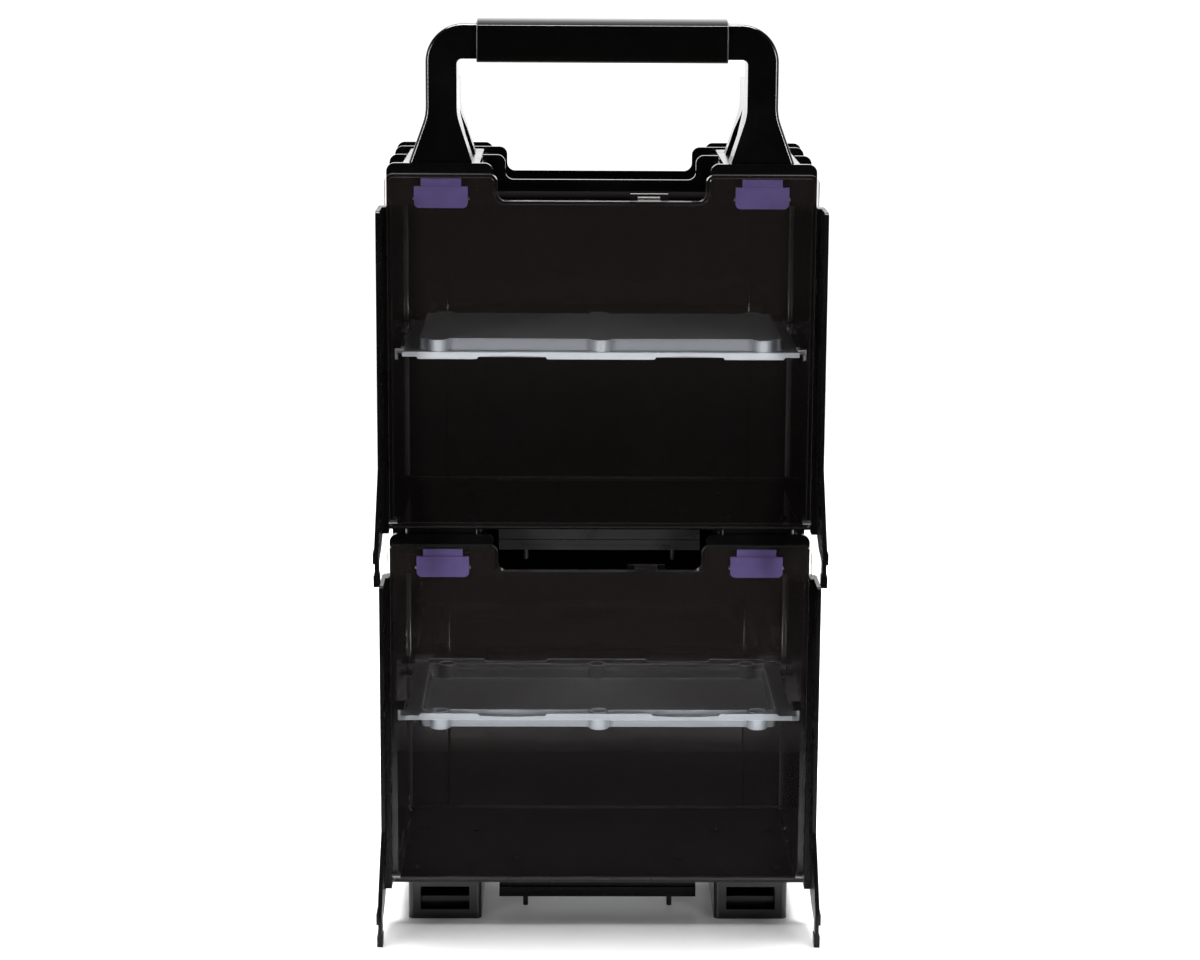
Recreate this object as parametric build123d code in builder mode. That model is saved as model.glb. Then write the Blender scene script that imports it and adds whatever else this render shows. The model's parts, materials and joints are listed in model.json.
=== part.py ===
from build123d import *
import os

# A tall hobby carrying case: two identical stacking modules, each a deep tray with a clear
# drop-down door and one loose shelf, and a carrying handle that plugs into the upper module.
# All sizes are millimetres. A module is drawn with its feet on z = 0, the outside of its
# door on y = 0 and its middle on x = 0. The front faces -y. At the end each piece is set in
# place, so that the whole case stands on z = 0, centred on x and y.

# Module body
module_pitch = 183.0          # from the feet to the top plane that carries the next module
shell_half = 103.0            # half the width over the side walls
wall = 2.0
floor_underside = 20.6
floor_thickness = 2.6
case_depth = 123.0            # from the outside of the door to the back of the case
back_wall = 2.4
cavity_radius = 3.5

# Flanges that run around the outside of the body
flange_gap = 0.3              # between the back of the door and the front flange
front_flange = 3.0
rib_thickness = 2.4
rib_reach = 2.2               # the ribs outside the side walls
mid_rib_y = 53.0
rear_rib_y = 102.0
flange_rise = 18.0            # the tabs of the body above the top plane
rib_notch_rise = 5.8          # the ribs above the top plane, between the tabs
rear_tab_extra = 0.7
rib_notch_inset = 30.2        # from a foot's middle to the edge of each notch
front_tab_inset = 25.1
rear_tab_inset = 22.5
front_tab_reach = 1.0
shoulder_reach = 4.3          # the front flange where it carries the side guards
shoulder_drop = 2.6           # the shoulder below the top plane
tab_radius = 4.0
rib_foot_radius = 3.0

# Door
door_depth = 5.4
door_panel = 1.8
door_rim = 1.8
door_reach = 0.6              # the door outside the side walls
door_tab_reach = 1.8
door_tab_inset = 27.4
door_raise = 2.0              # the door's lower edge above the underside of the floor
door_tab_rise = 13.1
door_notch_rise = 0.3
door_shoulder_drop = 1.7
pivot_height = 2.2            # the door's pivot above its lower edge
pivot_pin_radius = 1.2
running_clearance = 0.05
boss_length = 3.6
door_heel = 0.8               # the lower rim behind the pivot

# Door catch
catch_x = 22.8
catch_width = 18.4
catch_height = 5.9
catch_thickness = 1.4
catch_leg = 2.8
catch_bar = 3.3
catch_rise = 3.8              # the catch above the tongue's underside
tongue_width = 11.0
tongue_thickness = 1.5
tongue_back = 9.4
tongue_gap = 0.1              # the tongue above the door's notch

# Feet, shared by the modules and the handle, and the sockets that take them
foot_inset = 6.7              # the feet inside the side walls
foot_width = 37.2
foot_length = 84.0
foot_wall = 2.2
foot_radius = 3.0
socket_clearance = 0.4
socket_wall = 2.0
socket_rise = 15.5
window_width = 24.8
window_low = 5.0
window_high = 17.0
ledge_low = 8.5
ledge_thickness = 1.4

# Stacking latch
latch_pivot_rise = 1.0
latch_pin_radius = 0.8
latch_barrel_radius = 1.6
paddle_width = 26.0
paddle_drop = 3.6             # the paddle below the top plane
paddle_rise = 6.8
paddle_front = 5.0
paddle_thickness = 1.6
paddle_radius = 2.6
neck_width = 19.5
neck_rise = 10.6
neck_thickness = 1.5
neck_setback = 0.8
hook_width = 15.0
hook_low = 5.7                # the hook above the top plane
hook_height = 2.6
hook_reach = 10.6
latch_side_clearance = 0.8
latch_pin_bite = 2.6          # the pin inside the flange at each end

# Loose shelf, drawn with its plateau up
shelf_level = 109.3           # the top of the plate above the feet
shelf_side_gap = 4.0
shelf_lead = 2.1              # the shelf in front of the front flange
shelf_back_gap = 9.6
plate_thickness = 1.3
shelf_wall = 1.4
lip_height = 2.3
lip_thickness = 1.5
land_drop = 1.15
lip_arch = 0.5
land_inset = 22.1             # from the shelf's side to the middle of each outer land
land_width = 30.2
middle_land_width = 53.8
land_slope = 60
plateau_inset = 7.1           # from the edges of the plate to the walls' feet, at the sides and front
plateau_back_inset = 10.0
plateau_rise = 5.6
plateau_radius = 3.4
plateau_draft = 8
post_radius = 5.0
post_bore = 3.6
post_inset = 10.3             # from the plateau's side to the outer posts
ear_side_gap = 0.3
ear_width = 4.4
ear_length = 9.0
ear_height = 5.2
ear_wall = 1.3
ear_setback = 3.6
ear_drop = 1.5                # the ears' middle, about which the shelf turns over, below the plate's top

# Brackets on the side walls that hold the shelf's ears
bracket_reach = 3.4
bracket_length = 14.0
bracket_wall = 0.9
bracket_clearance = 0.35
bracket_overhang = 0.9        # the bracket in front of the ear

# Side guards, with the short legs that steady the case
guard_lap = 0.5               # the guards outside the shoulders
guard_thickness = 2.0
guard_gap = 0.3               # between the door's edge and a guard's root
guard_root_depth = 7.6
guard_front = -21.0
guard_corner_radius = 2.5
guard_tail = 0.8              # the guard below the flange
leg_front = -32.2
leg_depth = 8.0
leg_splay = 1.5               # the legs outside the guards
flare_height = 56.0
leg_pad_height = 5.7
leg_pad_thickness = 2.9
leg_neck_height = 5.7
leg_neck_thickness = 1.9
leg_bump_height = 5.7
leg_bump = 0.6

# Locating rail under the floor
rail_end_gap = 8.6            # between the rail's end and a foot
rail_setback = 18.9           # from the front of the feet
rail_web = 2.4
rail_web_setback = 2.0
rail_bar_depth = 5.0
rail_low = 5.2
rail_bar_height = 5.0
rail_groove_inset = 15.8
rail_groove = 0.5
rail_flange_depth = 11.0
rail_flange = 2.0
peg_inset = 13.5
peg_radius = 1.3

# Screws
screw_radius = 1.0
screw_head_radius = 1.7
screw_head_height = 1.2
guard_screw_length = 8.0
guard_screw_heights = (42.0, 101.0, 160.0)
base_screw_length = 7.5
foot_screw_inset = 12.0
boss_radius = 2.8
boss_bite = 0.6               # how far a boss runs into the wall beside it
rail_screw_inset = 8.5
grip_screw_radius = 1.3
grip_screw_head_radius = 2.4
grip_screw_length = 12.0
grip_screw_inset = 16.5

# Handle, drawn with its feet on z = 0
handle_leg_out = 7.5          # a leg's outer and inner faces from the middle of its foot
handle_leg_in = 7.6
bar_top = 84.2
bar_height = 16.7
handle_setback = 2.9          # the bar behind the front of the feet
bar_depth = 25.0
handle_depth = 65.0
shoulder_height = 56.0
handle_corner_radius = 18.3
handle_inner_radius = 2.6
handle_edge_radius = 1.8
shoulder_radius = 3.0
crook_radius = 6.0
flare_top = 40.5
flare_out = 15.8
flare_in = 15.0
flare_radius = 24.0
handle_foot_height = 17.6
recess_setback = 22.0
recess_length = 30.0
recess_top = 41.5
recess_spring = 30.0
recess_depth = 7.0

# Grip
grip_end_gap = 9.6            # between the grip and the legs
grip_skin = 3.0
grip_bottom_skin = 1.6
grip_side_drop = 0.6          # the grip's edges below the top of the bar
grip_crown = 3.0
grip_chamfer_height = 2.9
grip_chamfer_depth = 1.4
grip_fit = 0.05

# Sizes worked out from the ones above
flange_front = door_depth + flange_gap
flange_back = flange_front + front_flange
rib_half = shell_half + rib_reach
front_tab_half = shell_half + front_tab_reach
shoulder_half = shell_half + shoulder_reach
door_half = shell_half + door_reach
door_tab_half = shell_half + door_tab_reach
guard_root_inner = door_half + guard_gap
guard_outer = shoulder_half + guard_lap
guard_low_edge = floor_underside - guard_tail
leg_outer = guard_outer + leg_splay
cavity_half = shell_half - wall
cavity_low = floor_underside + floor_thickness
cavity_high = module_pitch - wall
cavity_back = case_depth - back_wall
tab_top = module_pitch + flange_rise
shoulder_z = module_pitch - shoulder_drop
door_bottom = floor_underside + door_raise
pivot_y = door_depth - pivot_height
pivot_z = door_bottom + pivot_height
foot_x = shell_half - foot_inset - foot_width / 2
foot_front = flange_back + socket_clearance
foot_back = foot_front + foot_length
socket_half = foot_width / 2 + socket_clearance
rib_notch_half = foot_x - rib_notch_inset
front_tab_inner = foot_x - front_tab_inset
rear_tab_inner = foot_x - rear_tab_inset
door_tab_inner = foot_x - door_tab_inset
latch_half = paddle_width / 2 + latch_side_clearance
latch_pivot_y = flange_front + front_flange / 2
latch_pivot_z = module_pitch + latch_pivot_rise
shelf_half = cavity_half - shelf_side_gap
shelf_front = flange_front - shelf_lead
shelf_back = cavity_back - shelf_back_gap
land_level = shelf_level - lip_height - land_drop
land_x = shelf_half - land_inset
plateau_half = shelf_half - plateau_inset
plateau_front = shelf_front + plateau_inset
plateau_back = shelf_back - plateau_back_inset
post_x = plateau_half - post_inset
ear_half = cavity_half - ear_side_gap
ear_centre = shelf_level - ear_drop
ear_front = shelf_front + ear_setback
ear_back = shelf_back - ear_setback
guard_screw_x = (guard_root_inner + guard_outer) / 2
guard_screw_boss = screw_head_radius
rail_half = foot_x - foot_width / 2 - rail_end_gap
rail_y = foot_front + rail_setback
rail_peg_y = rail_y + rail_bar_depth / 2
rail_groove_half = rail_half - rail_groove_inset
peg_x = rail_half - peg_inset
rail_screw_x = rail_half - rail_screw_inset
leg_half_outer = foot_x + handle_leg_out
leg_half_inner = foot_x - handle_leg_in
flare_outer = foot_x + flare_out
flare_inner = foot_x - flare_in
bar_bottom = bar_top - bar_height
handle_front = foot_front + handle_setback
handle_middle = handle_front + bar_depth / 2
recess_front = handle_front + recess_setback
recess_back = recess_front + recess_length
grip_half = leg_half_inner - grip_end_gap
grip_screw_x = grip_half - grip_screw_inset
grip_low = bar_bottom - grip_bottom_skin
grip_side_top = bar_top - grip_side_drop
depth_centre = (case_depth + leg_front) / 2
sides = {"left": -1, "right": 1}


def front_plane(y):
    """An upright plane seen from the front: its x is the case's x, its y is the height."""
    return Plane(origin=(0, y, 0), x_dir=(1, 0, 0), z_dir=(0, -1, 0))


def side_plane(x):
    """An upright plane seen from the right: its x is the case's y, its y is the height."""
    return Plane(origin=(x, 0, 0), x_dir=(0, 1, 0), z_dir=(1, 0, 0))


def along_x(x, y, z):
    """A place for a cylinder that lies across the case."""
    return Plane(origin=(x, y, z), z_dir=(1, 0, 0))


def along_y(x, y, z):
    """A place for a cylinder that points to the back of the case."""
    return Plane(origin=(x, y, z), z_dir=(0, 1, 0))


def mirrored(right_half):
    """A closed list of points from the ones on the right of the middle line."""
    return right_half + [(-x, z) for x, z in reversed(right_half)]


def block(x_range, y_range, z_range, mode=Mode.ADD):
    """A plain block between six faces, in the part that is being built."""
    spans = [max(r) - min(r) for r in (x_range, y_range, z_range)]
    middle = [sum(r) / 2 for r in (x_range, y_range, z_range)]
    with Locations(tuple(middle)):
        Box(*spans, mode=mode)


def tabbed_face(low_half, low_z, shoulder, tab_half, tab_inner, notch_z, top_z):
    """The outline that the door and the ribs share: a rectangle with two tabs on top."""
    right = [(low_half, low_z)]
    if tab_half > low_half:
        right += [(low_half, shoulder), (tab_half, shoulder)]
    right += [(tab_half, top_z), (tab_inner, top_z), (tab_inner, notch_z)]
    with BuildSketch(mode=Mode.PRIVATE) as face:
        with BuildLine():
            Polyline(*mirrored(right), close=True)
        make_face()
        fillet(face.vertices().group_by(Axis.Y)[-1], tab_radius)
        fillet([v for v in face.vertices() if abs(v.Y - notch_z) < wall / 4], tab_radius)
        fillet(face.vertices().group_by(Axis.Y)[0], rib_foot_radius)
    return face.sketch


def pair_of_tabs(inner, half, rise):
    """Two tabs with rounded tops, standing on the top plane."""
    with BuildSketch(mode=Mode.PRIVATE) as face:
        for side in sides.values():
            with Locations((side * (inner + half) / 2, module_pitch + (rise - wall) / 2)):
                Rectangle(half - inner, rise + wall)
        fillet(face.vertices().group_by(Axis.Y)[-1], tab_radius)
    return face.sketch


def floor_screw_places():
    """Where the floor is bored: four screws for each foot and two for the rail."""
    across = foot_width / 2 - foot_wall - boss_radius + boss_bite
    rows = (foot_front + foot_screw_inset, foot_back - foot_screw_inset)
    places = []
    for side in sides.values():
        places += [(side * foot_x + offset * across, y) for y in rows for offset in (-1, 1)]
        places.append((side * rail_screw_x, rail_y + rail_web_setback + rail_web + boss_radius - boss_bite))
    return places


def make_case_shell():
    with BuildPart() as shell:
        # the deep tray, still solid
        block((-shell_half, shell_half), (flange_front, case_depth), (floor_underside, module_pitch))
        # the front flange, with the shoulders that carry the guards
        with BuildSketch(front_plane(flange_front)):
            with Locations((0, (floor_underside + shoulder_z) / 2)):
                Rectangle(2 * shoulder_half, shoulder_z - floor_underside)
            with Locations((0, (floor_underside + module_pitch) / 2)):
                Rectangle(2 * front_tab_half, module_pitch - floor_underside)
            add(pair_of_tabs(front_tab_inner, front_tab_half, flange_rise))
        extrude(amount=-front_flange)
        # the two ribs that follow the tabbed outline
        rib = tabbed_face(rib_half, floor_underside, floor_underside, rib_half, rib_notch_half,
                          module_pitch + rib_notch_rise, tab_top)
        for rib_y in (mid_rib_y, rear_rib_y):
            with BuildSketch(front_plane(rib_y)):
                add(rib)
            extrude(amount=-rib_thickness)
        # the tabs on the back wall
        with BuildSketch(front_plane(cavity_back)):
            add(pair_of_tabs(rear_tab_inner, rib_half, flange_rise + rear_tab_extra))
        extrude(amount=-back_wall)
        # the walls of the sockets
        for side in sides.values():
            edge = socket_half + socket_wall
            block((side * foot_x - edge, side * foot_x + edge),
                  (flange_front, foot_back + socket_clearance + socket_wall),
                  (module_pitch - wall, module_pitch + socket_rise))
        # the space inside the tray, with rounded corners
        with BuildSketch(front_plane(flange_front)) as mouth:
            with Locations((0, (cavity_low + cavity_high) / 2)):
                Rectangle(2 * cavity_half, cavity_high - cavity_low)
            fillet(mouth.vertices(), cavity_radius)
        extrude(amount=flange_front - cavity_back, mode=Mode.SUBTRACT)
        for side in sides.values():
            cut_socket(side * foot_x)
            for z in guard_screw_heights:
                with Locations(along_y(side * guard_screw_x, flange_front, z)):
                    Cylinder(screw_radius, 3 * front_flange, mode=Mode.SUBTRACT)
            # the brackets that hold the shelf's ears
            for y_low in (ear_front - bracket_overhang, ear_back + bracket_overhang - bracket_length):
                add_bracket(side, y_low)
        for x, y in floor_screw_places():
            with Locations((x, y, floor_underside)):
                Cylinder(screw_radius, 3 * floor_thickness, mode=Mode.SUBTRACT)
    return shell.part


def cut_socket(centre):
    """The hole that takes a foot from above, the latch's window and the hole for its pin."""
    block((centre - socket_half, centre + socket_half),
          (foot_front - socket_clearance, foot_back + socket_clearance),
          (module_pitch, tab_top + wall), mode=Mode.SUBTRACT)
    block((centre - latch_half, centre + latch_half), (flange_front, foot_front),
          (module_pitch - paddle_drop - latch_side_clearance,
           module_pitch + neck_rise + latch_side_clearance), mode=Mode.SUBTRACT)
    with Locations(along_x(centre, latch_pivot_y, latch_pivot_z)):
        Cylinder(latch_pin_radius, 2 * (latch_half + latch_pin_bite), mode=Mode.SUBTRACT)


def add_bracket(side, y_low):
    """Two short rails on a side wall, open to the front, with an ear of the shelf between them."""
    x_range = (side * (cavity_half + wall / 2), side * (cavity_half - bracket_reach))
    gap = ear_height / 2 + bracket_clearance
    for z_low in (ear_centre - gap - bracket_wall, ear_centre + gap):
        block(x_range, (y_low, y_low + bracket_length), (z_low, z_low + bracket_wall))


def make_door():
    with BuildPart() as door:
        outline = tabbed_face(door_half, door_bottom, module_pitch - door_shoulder_drop,
                              door_tab_half, door_tab_inner, module_pitch + door_notch_rise,
                              module_pitch + door_tab_rise)
        with BuildSketch(front_plane(0)):
            add(outline)
        extrude(amount=-door_depth)
        with BuildSketch(front_plane(door_panel)):
            add(outline)
            offset(amount=-door_rim, mode=Mode.REPLACE)
        extrude(amount=door_panel - door_depth, mode=Mode.SUBTRACT)
        # the pivot bosses inside the lower corners
        for side in sides.values():
            with Locations(along_x(side * (door_half - boss_length / 2), pivot_y, pivot_z)):
                Cylinder(pivot_height, boss_length)
        # the lower rim is cut back, so that it clears the case as the door swings down
        block((-door_tab_half, door_tab_half), (pivot_y + door_heel, flange_front),
              (door_bottom - wall, pivot_z), mode=Mode.SUBTRACT)
        for side in sides.values():
            with Locations(along_x(side * door_half, pivot_y, pivot_z)):
                Cylinder(pivot_pin_radius + running_clearance, 3 * boss_length, mode=Mode.SUBTRACT)
    return door.part


def make_door_pins():
    length = guard_outer - (door_half - boss_length)
    with BuildPart() as pins:
        for side in sides.values():
            with Locations(along_x(side * (guard_outer - length / 2), pivot_y, pivot_z)):
                Cylinder(pivot_pin_radius, length)
    return pins.part


def make_door_catch():
    """A small arch on the door's top edge, with a tongue that lies over the case."""
    tongue_low = module_pitch + door_notch_rise + tongue_gap
    top = tongue_low + catch_rise
    low = top - catch_height
    across = (catch_x - catch_width / 2, catch_x + catch_width / 2)
    with BuildPart() as catch:
        block(across, (-catch_thickness, 0), (low, top))
        block((across[0] + catch_leg, across[1] - catch_leg), (-catch_thickness, 0),
              (low, top - catch_bar), mode=Mode.SUBTRACT)
        # the bar is deeper above the door's edge, and the tongue lies under it
        block(across, (-catch_thickness, catch_thickness), (tongue_low, top))
        block((catch_x - tongue_width / 2, catch_x + tongue_width / 2), (-catch_thickness, tongue_back),
              (tongue_low, tongue_low + tongue_thickness))
    return catch.part


def make_latch(side):
    centre = side * foot_x
    neck_front = paddle_front + neck_setback
    neck_back = neck_front + neck_thickness
    hook_top = module_pitch + hook_low + hook_height
    with BuildPart() as latch:
        # the paddle, rounded at its lower corners, and the neck above it
        with BuildSketch(front_plane(paddle_front)) as face:
            with Locations((centre, module_pitch + (paddle_rise - paddle_drop) / 2)):
                Rectangle(paddle_width, paddle_rise + paddle_drop)
            fillet(face.vertices().group_by(Axis.Y)[0], paddle_radius)
        extrude(amount=-paddle_thickness)
        block((centre - neck_width / 2, centre + neck_width / 2), (neck_front, neck_back),
              (module_pitch + latch_pivot_rise, module_pitch + neck_rise))
        # the hook that catches in the window of the foot
        with BuildSketch(side_plane(centre - hook_width / 2)):
            with BuildLine():
                Polyline((neck_front, module_pitch + hook_low), (hook_reach, module_pitch + hook_low),
                         (hook_reach, hook_top - hook_height / 2), (neck_back, hook_top),
                         (neck_front, hook_top), close=True)
            make_face()
        extrude(amount=hook_width)
        # the barrel that turns on the pin
        with Locations(along_x(centre, latch_pivot_y, latch_pivot_z)):
            Cylinder(latch_barrel_radius, paddle_width)
            Cylinder(latch_pin_radius + running_clearance, 2 * paddle_width, mode=Mode.SUBTRACT)
    return latch.part


def make_latch_pins():
    with BuildPart() as pins:
        for side in sides.values():
            with Locations(along_x(side * foot_x, latch_pivot_y, latch_pivot_z)):
                Cylinder(latch_pin_radius, 2 * (latch_half + latch_pin_bite))
    return pins.part


def lip_face():
    """The lip seen from the front: a strip with three deeper lands and shallow arches between."""
    low = shelf_level - lip_height
    with BuildSketch(mode=Mode.PRIVATE) as face:
        with Locations((0, shelf_level - lip_height / 2)):
            Rectangle(2 * shelf_half, lip_height)
        for x, width in ((-land_x, land_width), (0, middle_land_width), (land_x, land_width)):
            with Locations((x, (low + land_level) / 2)):
                Trapezoid(width, land_drop, land_slope, rotation=180)
        for side in sides.values():
            inner = side * middle_land_width / 2
            outer = side * (land_x - land_width / 2)
            with BuildLine():
                ThreePointArc((inner, low), ((inner + outer) / 2, low + lip_arch), (outer, low))
                Line((outer, low), (inner, low))
            make_face(mode=Mode.SUBTRACT)
    return face.sketch


def plateau_foot(shrink):
    """The outline of the raised middle at the bottom of the plate, shrunk all round."""
    span = plateau_back - plateau_front
    with BuildSketch(Plane.XY.offset(shelf_level - plate_thickness)) as face:
        with Locations((0, (plateau_front + plateau_back) / 2)):
            RectangleRounded(2 * (plateau_half - shrink), span - 2 * shrink, plateau_radius - shrink)
    return face.sketch


def make_shelf():
    plate_low = shelf_level - plate_thickness
    rise = plateau_rise + plate_thickness
    with BuildPart() as shelf:
        block((-shelf_half, shelf_half), (shelf_front, shelf_back), (plate_low, shelf_level))
        # the raised middle, whose walls go on below the plate to the level of the lands
        extrude(plateau_foot(0), amount=rise, taper=plateau_draft)
        extrude(plateau_foot(0), amount=land_level - plate_low)
        for y in (shelf_front, shelf_back - lip_thickness):
            with BuildSketch(front_plane(y)):
                add(lip_face())
            extrude(amount=-lip_thickness)
        # the hollow under it
        extrude(plateau_foot(shelf_wall), amount=rise - shelf_wall, taper=plateau_draft, mode=Mode.SUBTRACT)
        extrude(plateau_foot(shelf_wall), amount=land_level - plate_low, mode=Mode.SUBTRACT)
        # the posts stand in the walls, and reach from the lands to the top of the plateau
        post_height = shelf_level + plateau_rise - land_level
        with Locations([(x, y, land_level) for x in (-post_x, 0, post_x)
                        for y in (plateau_front, plateau_back)]):
            Cylinder(post_radius, post_height, align=(Align.CENTER, Align.CENTER, Align.MIN))
            Cylinder(post_bore, post_height - shelf_wall, mode=Mode.SUBTRACT,
                     align=(Align.CENTER, Align.CENTER, Align.MIN))
        # the ears that ride in the brackets: a block on the plate and a thin wall below it
        ear_low, ear_top = ear_centre - ear_height / 2, ear_centre + ear_height / 2
        for side in sides.values():
            for y_range in ((ear_front, ear_front + ear_length), (ear_back - ear_length, ear_back)):
                block((side * (ear_half - ear_width), side * ear_half), y_range, (plate_low, ear_top))
                block((side * (ear_half - ear_wall), side * ear_half), y_range, (ear_low, ear_top))
    return shelf.part


def make_guard(side):
    """A thin plate in front of the flange, crossed by its outline seen from the side."""
    pad_top = leg_pad_height
    neck_top = pad_top + leg_neck_height
    bump_top = neck_top + leg_bump_height
    neck_inner = leg_outer - leg_neck_thickness - leg_bump / 2
    section = [(guard_outer, shoulder_z), (guard_outer, flare_height), (leg_outer, bump_top),
               (leg_outer + leg_bump, bump_top), (leg_outer + leg_bump, neck_top),
               (neck_inner + leg_neck_thickness, neck_top), (neck_inner + leg_neck_thickness, pad_top),
               (leg_outer + leg_bump / 2, pad_top), (leg_outer + leg_bump / 2, 0),
               (leg_outer + leg_bump / 2 - leg_pad_thickness, 0),
               (leg_outer + leg_bump / 2 - leg_pad_thickness, pad_top), (neck_inner, pad_top),
               (neck_inner, bump_top), (guard_outer - guard_thickness, flare_height),
               (guard_outer - guard_thickness, shoulder_z)]
    with BuildPart() as guard:
        with BuildSketch(front_plane(leg_front)):
            with BuildLine():
                Polyline(*[(side * x, z) for x, z in section], close=True)
            make_face()
        extrude(amount=leg_front - flange_front)
        with BuildSketch(side_plane(-2 * guard_outer)) as outline:
            with BuildLine():
                Polyline((flange_front, shoulder_z), (guard_front, shoulder_z), (guard_front, flare_height),
                         (leg_front, bump_top), (leg_front, 0), (leg_front + leg_depth, 0),
                         (leg_front + leg_depth, neck_top), (-leg_depth, neck_top + leg_bump_height / 2),
                         (flange_front, guard_low_edge), close=True)
            make_face()
            corners = outline.vertices()
            fillet([v for v in corners if abs(v.X - guard_front) < wall / 4], guard_corner_radius)
            fillet([v for v in corners if abs(v.Y) < wall / 4], guard_thickness / 2)
        extrude(amount=4 * guard_outer, mode=Mode.INTERSECT)
        # the thick root that the screws and the door's pin are held in
        block((side * guard_root_inner, side * guard_outer),
              (flange_front - guard_root_depth, flange_front), (guard_low_edge, shoulder_z))
        for z in guard_screw_heights:
            with Locations(along_y(side * guard_screw_x, flange_front, z)):
                Cylinder(screw_radius, 2 * (guard_screw_length - front_flange), mode=Mode.SUBTRACT)
        with Locations(along_x(side * guard_outer, pivot_y, pivot_z)):
            Cylinder(pivot_pin_radius, 4 * guard_thickness + 2, mode=Mode.SUBTRACT)
    return guard.part


def make_guard_screws():
    with BuildPart() as screws:
        for side in sides.values():
            for z in guard_screw_heights:
                with Locations(along_y(side * guard_screw_x, flange_back, z)):
                    Cylinder(screw_radius, guard_screw_length,
                             align=(Align.CENTER, Align.CENTER, Align.MAX))
                    Cylinder(guard_screw_boss, screw_head_height,
                             align=(Align.CENTER, Align.CENTER, Align.MIN))
    return screws.part


def foot_solid(centre, height, hollow):
    """A foot, hollow between two levels, with the window that a latch hooks into."""
    x_range = (centre - foot_width / 2, centre + foot_width / 2)
    with BuildSketch(Plane.XY) as base:
        with Locations((centre, (foot_front + foot_back) / 2)):
            RectangleRounded(foot_width, foot_length, foot_radius)
    extrude(base.sketch, amount=height)
    block((x_range[0] + foot_wall, x_range[1] - foot_wall),
          (foot_front + foot_wall, foot_back - foot_wall), hollow, mode=Mode.SUBTRACT)
    block((centre - window_width / 2, centre + window_width / 2), (foot_front, foot_front + 2 * foot_wall),
          (window_low, min(window_high, height - foot_wall)), mode=Mode.SUBTRACT)


def make_foot(side):
    centre = side * foot_x
    with BuildPart() as foot:
        foot_solid(centre, floor_underside, (foot_wall, floor_underside))
        # a stiffening ledge behind the window
        block((centre - foot_width / 2 + foot_wall / 2, centre + foot_width / 2 - foot_wall / 2),
              (foot_front + 3 * foot_wall, foot_front + 4 * foot_wall),
              (foot_wall / 2, ledge_low + ledge_thickness))
        # the bosses for the screws that come through the floor
        spots = [(x, y) for x, y in floor_screw_places() if abs(x - centre) < foot_width / 2]
        with Locations([(x, y, floor_underside) for x, y in spots]):
            Cylinder(boss_radius, floor_underside - foot_wall / 2,
                     align=(Align.CENTER, Align.CENTER, Align.MAX))
            Cylinder(screw_radius, 2 * (base_screw_length - floor_thickness), mode=Mode.SUBTRACT)
    return foot.part


def make_locating_rail():
    web_front = rail_y + rail_web_setback
    with BuildPart() as rail:
        block((-rail_half, rail_half), (rail_y, rail_y + rail_bar_depth),
              (rail_low, rail_low + rail_bar_height))
        block((-rail_half, rail_half), (web_front, web_front + rail_web), (rail_low, floor_underside))
        block((-rail_half, rail_half), (rail_y, rail_y + rail_flange_depth),
              (floor_underside - rail_flange, floor_underside))
        groove_z = rail_low + rail_bar_height / 2
        block((-rail_groove_half, rail_groove_half), (rail_y, rail_y + rail_groove),
              (groove_z - rail_groove / 2, groove_z + rail_groove / 2), mode=Mode.SUBTRACT)
        # the pegs rest on the plane below
        with Locations([(side * peg_x, rail_peg_y, 0) for side in sides.values()]):
            Cylinder(peg_radius, rail_low + rail_bar_height / 2,
                     align=(Align.CENTER, Align.CENTER, Align.MIN))
        spots = [(x, y) for x, y in floor_screw_places() if abs(x) < rail_half]
        with Locations([(x, y, floor_underside) for x, y in spots]):
            Cylinder(boss_radius, base_screw_length - floor_thickness + rail_flange / 2,
                     align=(Align.CENTER, Align.CENTER, Align.MAX))
            Cylinder(screw_radius, 2 * (base_screw_length - floor_thickness), mode=Mode.SUBTRACT)
    return rail.part


def make_base_screws():
    with BuildPart() as screws:
        with Locations([(x, y, cavity_low) for x, y in floor_screw_places()]):
            Cylinder(screw_radius, base_screw_length, align=(Align.CENTER, Align.CENTER, Align.MAX))
            Cylinder(screw_head_radius, screw_head_height,
                     align=(Align.CENTER, Align.CENTER, Align.MIN))
    return screws.part


def handle_face():
    """The arch of the handle seen from the front."""
    low = handle_foot_height - foot_wall
    outer = [(flare_outer, low), (flare_outer, handle_foot_height), (leg_half_outer, flare_top),
             (leg_half_outer, bar_top)]
    inner = [(leg_half_inner, bar_bottom), (leg_half_inner, flare_top),
             (flare_inner, handle_foot_height), (flare_inner, low)]
    with BuildSketch(mode=Mode.PRIVATE) as face:
        with BuildLine():
            Polyline(*outer, *[(-x, z) for x, z in reversed(outer)],
                     *[(-x, z) for x, z in reversed(inner)], *inner, close=True)
        make_face()
        fillet([v for v in face.vertices() if abs(v.Y - flare_top) < wall / 4], flare_radius)
        fillet([v for v in face.vertices() if abs(v.Y - bar_bottom) < wall / 4], handle_inner_radius)
        fillet(face.vertices().group_by(Axis.Y)[-1], handle_corner_radius)
    return face.sketch


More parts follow.
